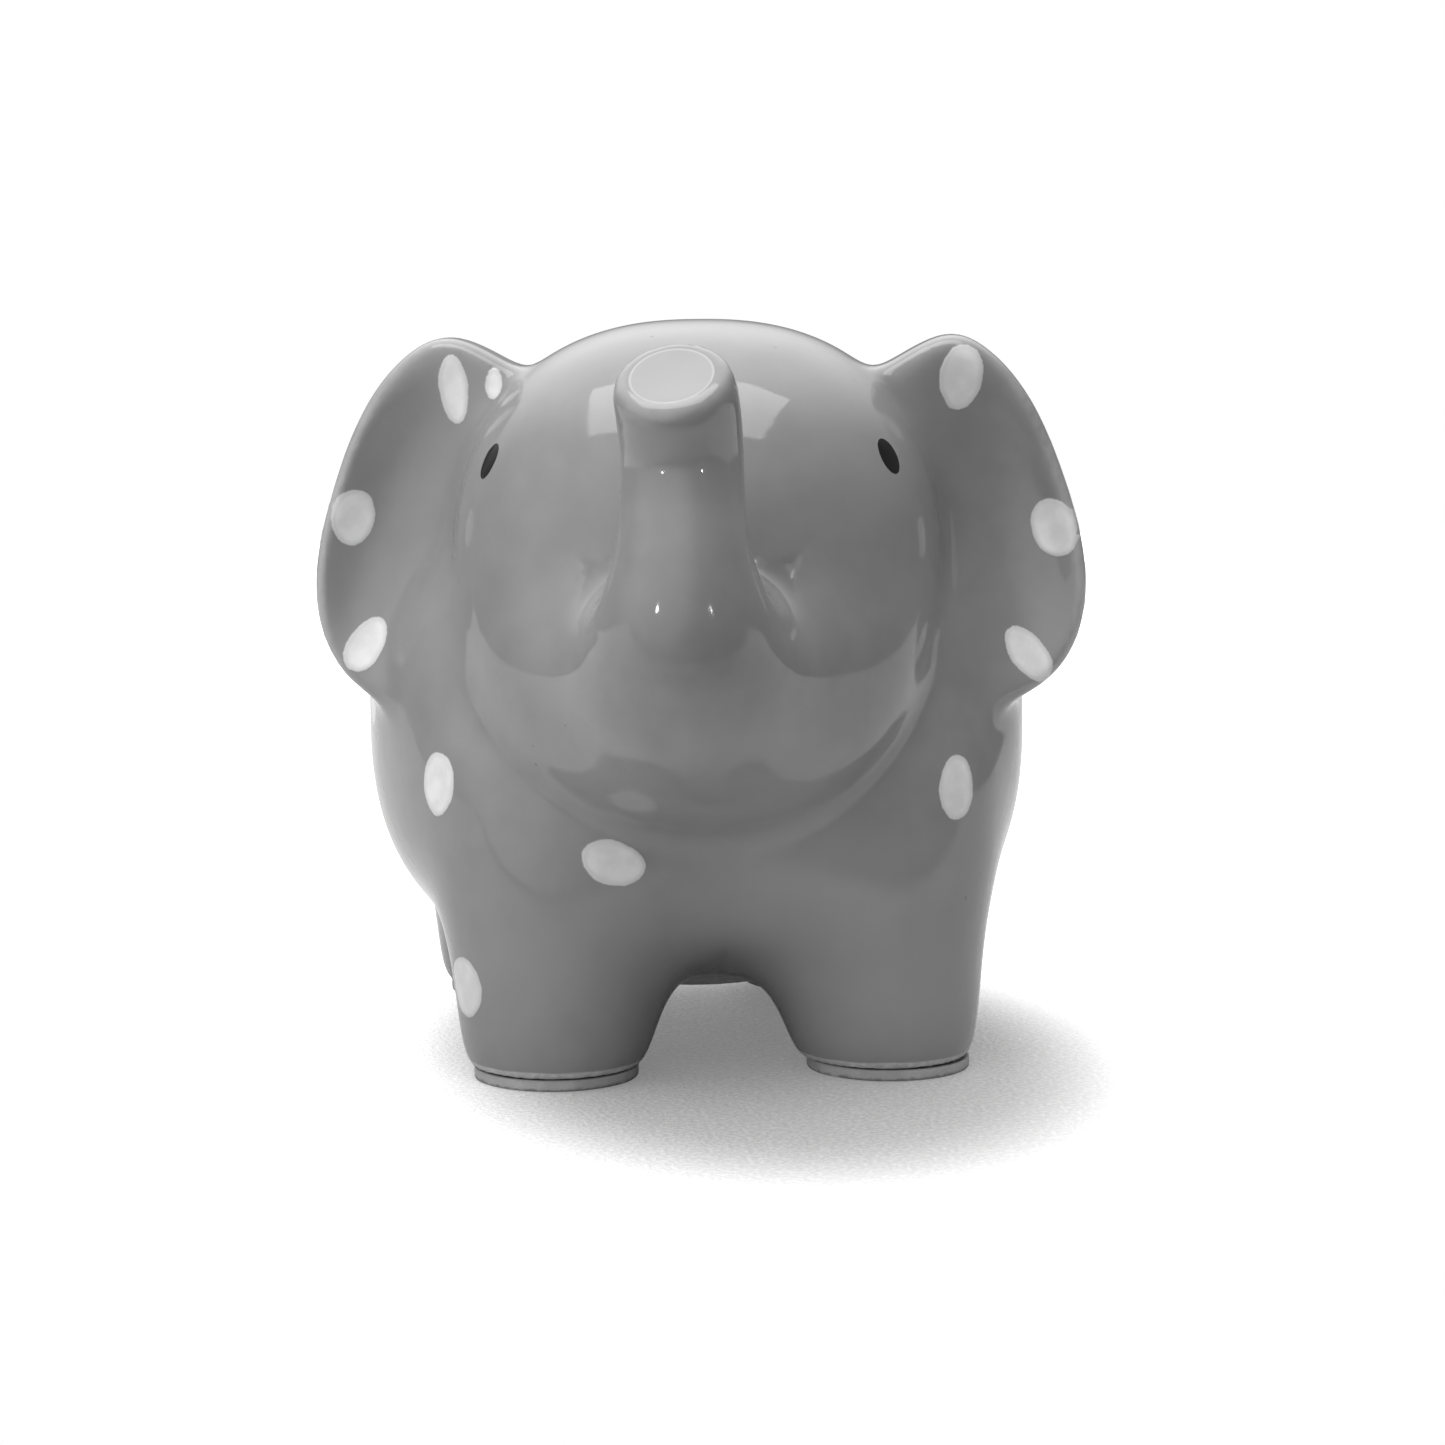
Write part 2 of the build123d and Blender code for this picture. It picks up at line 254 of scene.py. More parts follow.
def elephant(p, everything=True):
    """Distance to the glazed skin. Without everything, only the parts that are hollow inside."""
    x, y, z = p.T
    side = np.abs(x - MIDDLE_X)
    body = superellipse((x - TORSO_CENTRE[0], y - TORSO_CENTRE[1], z - TORSO_CENTRE[2]),
                        TORSO_RADII, TORSO_POWER)
    skirts = [superellipse((x - MIDDLE_X, y - skirt_y, z - SKIRT_Z), SKIRT_RADII, SKIRT_POWER)
              for skirt_y in (FRONT_SKIRT_Y, REAR_SKIRT_Y)]
    body = smooth_union(body, np.minimum(*skirts), SKIRT_BLEND)
    legs = np.minimum(leg(side, y, z, FRONT_FOOT_Y, LEG_LEAN_ALONG),
                      leg(side, y, z, REAR_FOOT_Y, -LEG_LEAN_ALONG))
    body = smooth_union(body, legs, LEG_BLEND)
    local = in_head(p)
    head = superellipse(local.T, HEAD_RADII, HEAD_POWER)
    jaw = superellipse((local - JAW_CENTRE).T, JAW_RADII, JAW_POWER)
    head = smooth_union(head, jaw, JAW_BLEND)
    if everything:
        root = eased((local[:, 2] - ROOT_FROM) / (ROOT_TO - ROOT_FROM))
        blend = TRUNK_BLEND_FREE + (TRUNK_BLEND_ROOT - TRUNK_BLEND_FREE) * root
        head = smooth_union(head, trunk(local), blend)
        head = smooth_union(head, ear(local), EAR_BLEND)
        body = smooth_union(body, tube(p, TAIL), TAIL_BLEND)
    whole = smooth_union(body, head, NECK_BLEND)
    return smooth_common(whole, FLOOR - z, SOLE_BLEND)


HOLE_X, HOLE_Y = [(low + high) / 2 / MM for low, high in zip(*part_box("stopper"))][:2]
STOPPER_LOW, STOPPER_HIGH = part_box("stopper")[0][2] / MM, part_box("stopper")[1][2] / MM
FLANGE_RADIUS, FLANGE = (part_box("stopper")[1][0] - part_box("stopper")[0][0]) / 2 / MM, 2.4
SEAT_Z = STOPPER_LOW + FLANGE


def bank(p):
    """Distance to the casting: the skin, the hollow in it, the coin slot, the stopper's hole and seat."""
    x, y, z = p.T
    skin = elephant(p)
    hollow = elephant(p, everything=False) + WALL
    solid = smooth_common(skin, -hollow, WALL_BLEND)
    reach = np.maximum(np.abs(x - MIDDLE_X) - (SLOT_LENGTH - SLOT_WIDTH) / 2, 0)
    slot = np.maximum(np.hypot(reach, y - SLOT_Y) - SLOT_WIDTH / 2, SLOT_LOWEST - z)
    hole = np.maximum(np.hypot(x - HOLE_X, y - HOLE_Y) - HOLE_RADIUS, z - HOLE_HIGHEST)
    seat = np.maximum(np.hypot(x - HOLE_X, y - HOLE_Y) - SEAT_RADIUS, z - SEAT_Z)
    solid = smooth_common(solid, -slot, SLOT_BLEND)
    solid = smooth_common(solid, -seat, SEAT_BLEND)
    return smooth_common(solid, -hole, HOLE_BLEND)


# ---------------------------------------------------------------- from the distance field to a mesh
VOXEL = 1.25
COARSE = 4                   # fine steps to one coarse step
CHUNK = 20000
STEP = 0.15                  # for slopes of the field
HALF_DIAGONAL = 0.87         # of a cube, as a share of its side
NEAR_ENOUGH = 1.35           # how far the field may overstate a distance


def measured(field, points):
    """The field at many points, a chunk at a time on several threads."""
    chunks = np.array_split(points, max(1, len(points) // CHUNK))
    with ThreadPoolExecutor() as pool:
        return np.concatenate(list(pool.map(field, chunks)))


def slopes(field, points, step=STEP):
    sides = [measured(field, points + step * axis) - measured(field, points - step * axis)
             for axis in np.eye(3)]
    return np.column_stack(sides) / (2 * step)


def normals_of(field, points, step):
    normals = slopes(field, points, step)
    return normals / np.maximum(np.linalg.norm(normals, axis=1), 1e-6)[:, None]


def sampled_grid(field, low, high, voxel):
    """The field on a fine grid, worked out only near the surface. Elsewhere it is a coarse value."""
    wide = voxel * COARSE
    cells = np.ceil((high - low) / wide).astype(int)
    centres = np.stack(np.meshgrid(*[low[i] + wide * (np.arange(cells[i]) + 0.5) for i in range(3)],
                                   indexing="ij"), -1)
    rough = measured(field, centres.reshape(-1, 3)).reshape(cells)
    near = np.abs(rough) < wide * HALF_DIAGONAL * NEAR_ENOUGH + voxel

    def spread(values):
        for axis in range(3):
            values = np.repeat(values, COARSE, axis=axis)
        return np.pad(values, ((0, 1),) * 3, mode="edge")

    fine, chosen = spread(rough), spread(near)
    places = low + voxel * np.argwhere(chosen)
    fine[chosen] = measured(field, places)
    return fine


def surface_nets(field, low, high, voxel=VOXEL):
    """One vertex in every grid cell that the surface passes through, joined into quads."""
    grid = sampled_grid(field, low, high, voxel)
    inside = grid < 0
    shape = np.array(grid.shape)
    strides = np.array([shape[1] * shape[2], shape[2], 1])
    cells, crossings = [], []
    for axis in range(3):
        first, second = (axis + 1) % 3, (axis + 2) % 3
        here = [slice(None)] * 3
        there = [slice(None)] * 3
        here[axis], there[axis] = slice(0, -1), slice(1, None)
        edges = np.argwhere(inside[tuple(here)] != inside[tuple(there)])
        ahead = edges.copy()
        ahead[:, axis] += 1
        near, far = grid[tuple(edges.T)], grid[tuple(ahead.T)]
        places = edges.astype(float)
        places[:, axis] += near / (near - far)
        corner = edges @ strides
        around = np.stack([corner - strides[first] - strides[second], corner - strides[second],
                           corner, corner - strides[first]], -1)
        flip = far < 0
        around[flip] = around[flip][:, ::-1]
        cells.append(around)
        crossings.append(places)
    cells, crossings = np.concatenate(cells), np.concatenate(crossings)
    used, quads = np.unique(cells.ravel(), return_inverse=True)
    quads = quads.reshape(-1, 4)
    count = np.bincount(quads.ravel(), minlength=len(used))
    points = np.column_stack([np.bincount(quads.ravel(), np.repeat(crossings[:, i], 4)) / count
                              for i in range(3)])
    return low + voxel * points, quads


EVENING = 0.6                # share of the way to the middle of its neighbours, each round
SLOPE_FLOOR = 0.3            # keeps a vertex in a crease from being thrown far


def settled(field, points, quads, voxel=VOXEL, rounds=2):
    """The vertices, evened out along the surface and moved onto it."""
    pairs = np.concatenate([quads[:, [i, (i + 1) % 4]] for i in range(4)])
    ends, starts = np.concatenate([pairs, pairs[:, ::-1]]).T
    count = np.bincount(ends, minlength=len(points))
    for _ in range(rounds):
        mean = np.column_stack([np.bincount(ends, points[starts, i], len(points)) / count for i in range(3)])
        slope = slopes(field, points)
        length = np.maximum(np.linalg.norm(slope, axis=1), SLOPE_FLOOR)
        normal = slope / length[:, None]
        move = EVENING * (mean - points)
        move -= np.einsum("ij,ij->i", move, normal)[:, None] * normal
        push = np.clip(measured(field, points) / length, -voxel, voxel)
        points = points + move - push[:, None] * normal
        push = np.clip(measured(field, points) / length, -voxel, voxel)
        points = points - push[:, None] * normal
    return points


def mesh_object(name, points, faces):
    mesh = bpy.data.meshes.new(name)
    mesh.vertices.add(len(points))
    mesh.vertices.foreach_set("co", np.asarray(points, np.float32).ravel())
    mesh.loops.add(faces.size)
    mesh.loops.foreach_set("vertex_index", faces.ravel().astype(np.int32))
    mesh.polygons.add(len(faces))
    mesh.polygons.foreach_set("loop_start", np.arange(0, faces.size, faces.shape[1], dtype=np.int32))
    mesh.update(calc_edges=True)
    made = bpy.data.objects.new(name, mesh)
    bpy.context.scene.collection.objects.link(made)
    return made


def points_of(mesh):
    points = np.empty(len(mesh.vertices) * 3, np.float32)
    mesh.vertices.foreach_get("co", points)
    return points.reshape(-1, 3).astype(float)


def applied(made):
    """Applies the object's modifiers."""
    depsgraph = bpy.context.evaluated_depsgraph_get()
    mesh = bpy.data.meshes.new_from_object(made.evaluated_get(depsgraph))
    made.modifiers.clear()
    made.data = mesh


def shade_smooth(mesh):
    mesh.polygons.foreach_set("use_smooth", np.ones(len(mesh.polygons), bool))


def store(mesh, name, values):
    mesh.attributes.new(name, "FLOAT", "POINT").data.foreach_set("value", np.asarray(values, np.float32))


# ---------------------------------------------------------------- painted marks, in millimetres
# Each dot is a blob of pale slip: its place near the skin, then how wide and how high it is, and how far
# it leans. A place has to be nearer to the skin than to the wall's inside, or the dot is painted in there.
DOTS = (
    ((-45.0, -12.0, 122.5), 5.6, 12.6, -3),    # right ear, upper
    ((-38.0, -14.8, 123.6), 3.2, 6.0, 0),      # right ear, at the root
    ((-62.6, -7.0, 99.0), 8.2, 10.4, 10),      # right ear, middle
    ((-61.5, -6.5, 76.5), 6.8, 11.0, 30),      # right ear, lower
    ((44.8, -25.0, 124.5), 7.8, 12.0, 4),      # left ear, upper
    ((60.8, -26.6, 96.9), 8.8, 11.0, -15),     # left ear, middle
    ((57.3, -25.5, 74.7), 6.7, 11.6, -35),     # left ear, lower
    ((-48.1, -27.6, 53.5), 10.0, 11.2, -5),    # right shoulder
    ((-44.6, -30.5, 17.5), 11.0, 11.0, 0),     # right foreleg
    ((-20.0, -44.0, 41.5), 11.5, 7.9, 16),     # chest
    ((41.2, -39.0, 52.5), 8.2, 11.4, 10),      # left shoulder
    ((-59.5, 6.0, 66.0), 11.0, 12.0, 8),       # right flank
    ((-58.0, 37.0, 52.0), 12.0, 11.0, -12),
    ((-58.0, 20.0, 84.0), 11.0, 11.5, 20),
    ((61.5, 3.0, 64.0), 11.5, 11.5, -10),      # left flank
    ((60.5, 32.0, 50.0), 11.0, 12.0, 12),
    ((60.0, 16.0, 86.0), 12.0, 11.0, -18),
    ((47.5, 54.0, 20.0), 10.5, 11.5, 0),       # left hind leg
    ((-24.0, 75.6, 62.0), 11.5, 12.0, 10),     # rump
    ((27.0, 76.5, 52.0), 11.5, 11.0, -8),
    ((-28.0, 62.0, 90.0), 11.0, 11.0, 0),
    ((31.0, 60.0, 92.0), 12.0, 11.0, 15),
    ((-38.0, 38.0, 98.5), 11.0, 11.0, 0),      # back
    ((39.0, 36.0, 98.5), 11.5, 10.5, 0),
    ((-49.0, 9.0, 104.0), 9.5, 11.0, 0),       # behind the right ear
    ((57.0, -14.0, 100.0), 9.5, 11.0, 0),      # behind the left ear
)
NOWHERE = 50.0               # the distance kept where no mark is near
MARK_DEPTH = 9.0             # how far the skin may curve away under a mark
MARK_MARGIN = 4.0            # how far past a mark its distance is worked out
MARK_GENTLEST = 0.05         # keeps the division safe in the middle of a mark
FACING_AWAY = -0.1
EYES = (
    ((-39.8, -31.2, 110.8), 4.6, 6.9, 14),
    ((28.9, -43.8, 111.6), 5.0, 6.9, -14),
)


def painted(points, normals, marks, wobble):
    """Distance in millimetres to the edge of the nearest painted oval, below zero inside it."""
    nearest = np.full(len(points), NOWHERE)
    for number, (centre, width, height, lean) in enumerate(marks):
        centre = np.array(centre)
        close = np.flatnonzero(np.linalg.norm(points - centre, axis=1) < height + MARK_MARGIN)
        out = slopes(bank, centre[None])[0]
        out /= np.linalg.norm(out)
        across = np.cross((0.0, 0.0, 1.0) if abs(out[2]) < 0.9 else (0.0, -1.0, 0.0), out)
        across /= np.linalg.norm(across)
        up = np.cross(out, across)
        away = points[close] - centre
        u, v = away @ across, away @ up
        turn = radians(lean)
        u, v = cos(turn) * u - sin(turn) * v, cos(turn) * v + sin(turn) * u
        angle = np.arctan2(v, u)
        swell = 1 + wobble * (np.sin(2 * angle + 1.7 * number) * 0.6 + np.sin(3 * angle + 2.9 * number) * 0.7
                              + np.sin(5 * angle + 4.1 * number) * 0.4)
        gauge = np.hypot(u / (width / 2), v / (height / 2)) / swell
        slope = np.hypot(u / (width / 2) ** 2, v / (height / 2) ** 2) / np.maximum(gauge, MARK_GENTLEST)
        distance = (gauge - 1) / np.maximum(slope, MARK_GENTLEST)
        distance[(np.abs(away @ out) > MARK_DEPTH) | (normals[close] @ out < FACING_AWAY)] = NOWHERE
        nearest[close] = np.minimum(nearest[close], distance)
    return nearest


BEND_STEP = 1.6              # reach of the measure of how sharply the skin bends
SOFT_STEP = 0.4              # for the glazed skin's normals
MARGIN = 6.0                 # round the CAD box
HOLLOW_FROM = 0.6            # share of the wall below the skin at which the inside is taken to begin
INSIDE_KEPT = 0.1            # share of the hollow's faces that are kept, as little of it shows
DOT_WOBBLE, EYE_WOBBLE = 0.03, 0.01


def make_elephant():
    low = np.array(cad_box[0]) / MM - MARGIN
    high = np.array(cad_box[1]) / MM + MARGIN
    points, quads = surface_nets(bank, low, high)
    points = settled(bank, points, quads)
    made = mesh_object("glazed_elephant", points * MM, quads)
    inside = measured(lambda p: elephant(p, everything=False), points) < -HOLLOW_FROM * WALL
    group = made.vertex_groups.new(name="inside")
    group.add(np.flatnonzero(inside).tolist(), 1.0, "REPLACE")
    fewer = made.modifiers.new("fewer", "DECIMATE")
    fewer.ratio = 1.0 - (1.0 - INSIDE_KEPT) * inside.mean()
    fewer.vertex_group = "inside"
    fewer.vertex_group_factor = 1.0
    applied(made)
    mesh = made.data
    points = points_of(mesh) / MM
    normals = normals_of(bank, points, SOFT_STEP)
    around = sum(measured(bank, points + side * axis)
                 for axis in np.eye(3) * BEND_STEP for side in (1, -1))
    store(mesh, "bend", (around - 6 * measured(bank, points)) / BEND_STEP ** 2)
    store(mesh, "dot", painted(points, normals, DOTS, DOT_WOBBLE))
    store(mesh, "eye", painted(points, normals, EYES, EYE_WOBBLE))
    store(mesh, "rim", from_tip_rim(points))
    shade_smooth(mesh)
    mesh.normals_split_custom_set_from_vertices(normals.tolist())
    return made


elephant_piece = make_elephant()
elephant_piece.vertex_groups.clear()
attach(elephant_piece, "bank")
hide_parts("ceramic_body", "trunk", "left_ear", "right_ear", "tail")

# ---------------------------------------------------------------- foam pads, their adhesive, and the stopper
FEET = ("front_left", "front_right", "rear_left", "rear_right")
ROUND = 144                  # segments round a pad
LOOSE_EDGE, LOOSE_SIDE, LOOSE_POWER = 0.30, radians(15), 6
PAD_RIPPLE, ADHESIVE_RIPPLE = (2, 9, 0.05), (5, 40, 0.10)     # fewest and most waves, and their height
PAD_SEED, ADHESIVE_SEED = 11, 31


def turned(name, profile, outline, sink):
    """A disc turned from (radius, height) pairs, top first. Outline and sink vary it round the edge."""
    angles = 2 * np.pi * np.arange(ROUND) / ROUND
    made = bmesh.new()
    rings = []
    for radius, height in profile:
        share = (radius / profile[len(profile) // 2][0]) ** 4
        out = radius + outline * share
        places = np.column_stack([out * np.cos(angles), out * np.sin(angles),
                                  height - sink * share * height / profile[0][1]])
        rings.append([made.verts.new(place) for place in places])
    hubs = [made.verts.new((0, 0, profile[end][1])) for end in (0, -1)]
    for i in range(ROUND):
        j = (i + 1) % ROUND
        made.faces.new((hubs[0], rings[0][i], rings[0][j]))
        made.faces.new((hubs[1], rings[-1][j], rings[-1][i]))
        for upper, lower in zip(rings, rings[1:]):
            made.faces.new((upper[i], lower[i], lower[j], upper[j]))
    mesh = bpy.data.meshes.new(name)
    made.to_mesh(mesh)
    made.free()
    disc = bpy.data.objects.new(name, mesh)
    bpy.context.scene.collection.objects.link(disc)
    return disc


def rippled(seed, low, high, height):
    """A smooth random ripple round the edge, made of waves from low to high to a turn."""
    random = np.random.default_rng(seed)
    angles = 2 * np.pi * np.arange(ROUND) / ROUND
    waves = range(low, high + 1)
    ripple = sum(np.sin(wave * angles + random.uniform(0, 2 * np.pi)) * random.uniform(0.3, 1.0)
                 for wave in waves)
    return height * ripple / np.sqrt(len(waves))


def finished_disc(disc, node_name):
    """Moves the disc to its CAD node's middle in its mesh, and hands it over to the bank."""
    low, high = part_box(node_name)
    middle = ((low[0] + high[0]) / 2, (low[1] + high[1]) / 2, low[2])
    for vertex in disc.data.vertices:
        vertex.co = [MM * part + place for part, place in zip(vertex.co, middle)]
    shade_smooth(disc.data)
    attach(disc, "bank")
    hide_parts(node_name)
    return disc


def make_pad(foot, seed):
    """A foam disc with cut sides that bulge a little. The front left one is coming away on the outside."""
    low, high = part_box(f"foot_pad_{foot}")
    radius, thick = (high[0] - low[0]) / 2 / MM, (high[2] - low[2]) / MM
    profile = [(radius * share, thick) for share in (0.25, 0.5, 0.75, 0.92)]
    profile += [(radius - 0.25, thick), (radius - 0.12, thick - 0.03), (radius - 0.05, thick - 0.12),
                (radius - 0.03, thick * 0.7), (radius, thick * 0.5), (radius - 0.02, thick * 0.32),
                (radius - 0.06, thick * 0.1), (radius - 0.14, 0.04), (radius - 0.28, 0.0)]
    profile += [(radius * share, 0.0) for share in (0.9, 0.75, 0.5, 0.25)]
    angles = 2 * np.pi * np.arange(ROUND) / ROUND
    lifted = LOOSE_EDGE if foot == "front_left" else 0.0
    loose = lifted * np.clip(np.cos(angles + LOOSE_SIDE), 0, 1) ** LOOSE_POWER
    disc = turned(f"foam_pad_{foot}", profile, rippled(seed, *PAD_RIPPLE), loose)
    return finished_disc(disc, f"foot_pad_{foot}")


def make_adhesive(foot, seed):
    """The thin squeezed-out layer between a pad and its foot, with a ragged edge."""
    low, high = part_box(f"pad_adhesive_{foot}")
    radius, thick = (high[0] - low[0]) / 2 / MM, (high[2] - low[2]) / MM
    profile = [(radius * share, thick) for share in (0.3, 0.6, 0.85)]
    profile += [(radius - 0.06, thick), (radius, thick * 0.5), (radius - 0.06, 0.0)]
    profile += [(radius * share, 0.0) for share in (0.85, 0.6, 0.3)]
    ragged = rippled(seed, *ADHESIVE_RIPPLE)
    disc = turned(f"adhesive_{foot}", profile, ragged, np.zeros(ROUND))
    return finished_disc(disc, f"pad_adhesive_{foot}")


pads = [make_pad(foot, PAD_SEED + number) for number, foot in enumerate(FEET)]
adhesives = [make_adhesive(foot, ADHESIVE_SEED + number) for number, foot in enumerate(FEET)]

STOPPER_VOXEL = 0.5
PLUG_RADIUS, PLUG_WALL, PLUG_BARB = 14.75, 3.0, 0.22
PLUG_LEAD, PLUG_LEAD_HEIGHT, PLUG_BLEND = 0.9, 1.6, 0.7
PLUG_SINK = 1.0              # how far the plug reaches down into the flange
RIB_HEIGHTS, RIB_SPREAD = (2.6, 5.0), 0.7
FLANGE_BLEND, CORNER_BLEND = 1.3, 0.8
GRIP_LENGTH, GRIP_WIDTH, GRIP_OFFSET, GRIP_DEPTH, GRIP_BLEND = 16.0, 5.0, 4.5, 1.4, 0.9
GROOVE_IN, GROOVE_RADIUS, GROOVE_BLEND = 2.4, 0.45, 0.5
STOPPER_MARGIN = 2.0


def stopper_shape(p):
    """Distance to the stopper: a flange, a hollow plug with two soft ribs, and two finger recesses."""
    x, y, z = p[:, 0] - HOLE_X, p[:, 1] - HOLE_Y, p[:, 2]
    out = np.hypot(x, y)
    flange = np.abs(z - (STOPPER_LOW + SEAT_Z) / 2) - FLANGE / 2
    flange = smooth_common(out - FLANGE_RADIUS, flange, FLANGE_BLEND)
    lead_in = PLUG_LEAD * np.clip((z - STOPPER_HIGH + PLUG_LEAD_HEIGHT) / PLUG_LEAD_HEIGHT, 0, 1)
    first, second = [np.exp(-((z - SEAT_Z - rib) / RIB_SPREAD) ** 2) for rib in RIB_HEIGHTS]
    ribs = PLUG_BARB * (first + second)
    plug = smooth_common(out - PLUG_RADIUS + lead_in - ribs, z - STOPPER_HIGH, PLUG_BLEND)
    plug = np.maximum(plug, SEAT_Z - PLUG_SINK - z)
    solid = smooth_union(flange, plug, CORNER_BLEND)
    well = np.maximum(out - (PLUG_RADIUS - PLUG_WALL), SEAT_Z - z)
    solid = smooth_common(solid, -well, CORNER_BLEND)
    for side in (1, -1):
        reach = np.maximum(np.abs(x) - (GRIP_LENGTH - GRIP_WIDTH) / 2, 0)
        grip = np.maximum(np.hypot(reach, y - side * GRIP_OFFSET) - GRIP_WIDTH / 2,
                          z - STOPPER_LOW - GRIP_DEPTH)
        solid = smooth_common(solid, -grip, GRIP_BLEND)
    groove = np.hypot(out - FLANGE_RADIUS + GROOVE_IN, z - STOPPER_LOW) - GROOVE_RADIUS
    return smooth_common(solid, -groove, GROOVE_BLEND)


def make_stopper():
    low = np.array(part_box("stopper")[0]) / MM - STOPPER_MARGIN
    high = np.array(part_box("stopper")[1]) / MM + STOPPER_MARGIN
    points, quads = surface_nets(stopper_shape, low, high, STOPPER_VOXEL)
    points = settled(stopper_shape, points, quads, STOPPER_VOXEL)
    made = mesh_object("rubber_stopper", points * MM, quads)
    normals = normals_of(stopper_shape, points, STEP)
    shade_smooth(made.data)
    made.data.normals_split_custom_set_from_vertices(normals.tolist())
    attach(made, "stopper")
    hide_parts("stopper")
    return made


stopper_piece = make_stopper()

# ---------------------------------------------------------------- materials


def node(tree, kind, inputs=None, **settings):
    made = tree.nodes.new(kind)
    for name, value in settings.items():
        setattr(made, name, value)
    for name, value in (inputs or {}).items():
        if isinstance(value, bpy.types.NodeSocket):
            tree.links.new(value, made.inputs[name])
        else:
            made.inputs[name].default_value = value
    return made


def new_material(name):
    material = bpy.data.materials.new(name)
    material.use_nodes = True
    tree = material.node_tree
    return material, tree, tree.nodes["Principled BSDF"]


def grey(value):
    return (value, value, value, 1.0)


def noise(tree, scale, detail=2.0, roughness=0.5, offset=(0, 0, 0)):
    """Noise over the object, with scale in features to a metre."""
    place = node(tree, "ShaderNodeTexCoord").outputs["Object"]
    if any(offset):
        place = node(tree, "ShaderNodeMapping", {"Vector": place, "Location": offset}).outputs[0]
    return node(tree, "ShaderNodeTexNoise",
                {"Vector": place, "Scale": scale, "Detail": detail, "Roughness": roughness}).outputs["Fac"]


def ranged(tree, value, low, high, to_low=0.0, to_high=1.0, smooth=True):
    return node(tree, "ShaderNodeMapRange", {"Value": value, "From Min": low, "From Max": high,
                                             "To Min": to_low, "To Max": to_high},
                interpolation_type="SMOOTHSTEP" if smooth else "LINEAR").outputs["Result"]


def mixed(tree, factor, a, b):
    made = node(tree, "ShaderNodeMix", data_type="RGBA")
    for index, value in ((0, factor), (6, a), (7, b)):
        if isinstance(value, bpy.types.NodeSocket):
            tree.links.new(value, made.inputs[index])
        else:
            made.inputs[index].default_value = value
    return made.outputs[2]


def maths(tree, operation, a, b=0.5, c=0.5):
    made = node(tree, "ShaderNodeMath", operation=operation)
    for index, value in enumerate((a, b, c)):
        if isinstance(value, bpy.types.NodeSocket):
            tree.links.new(value, made.inputs[index])
        else:
            made.inputs[index].default_value = value
    return made.outputs[0]


def tinted(tree, colour, where, strength, value):
    """The colour, moved by the strength towards a grey where the mask says."""
    return mixed(tree, maths(tree, "MULTIPLY", where, strength), colour, grey(value))


def attribute(tree, name):
    return node(tree, "ShaderNodeAttribute", attribute_name=name).outputs["Fac"]


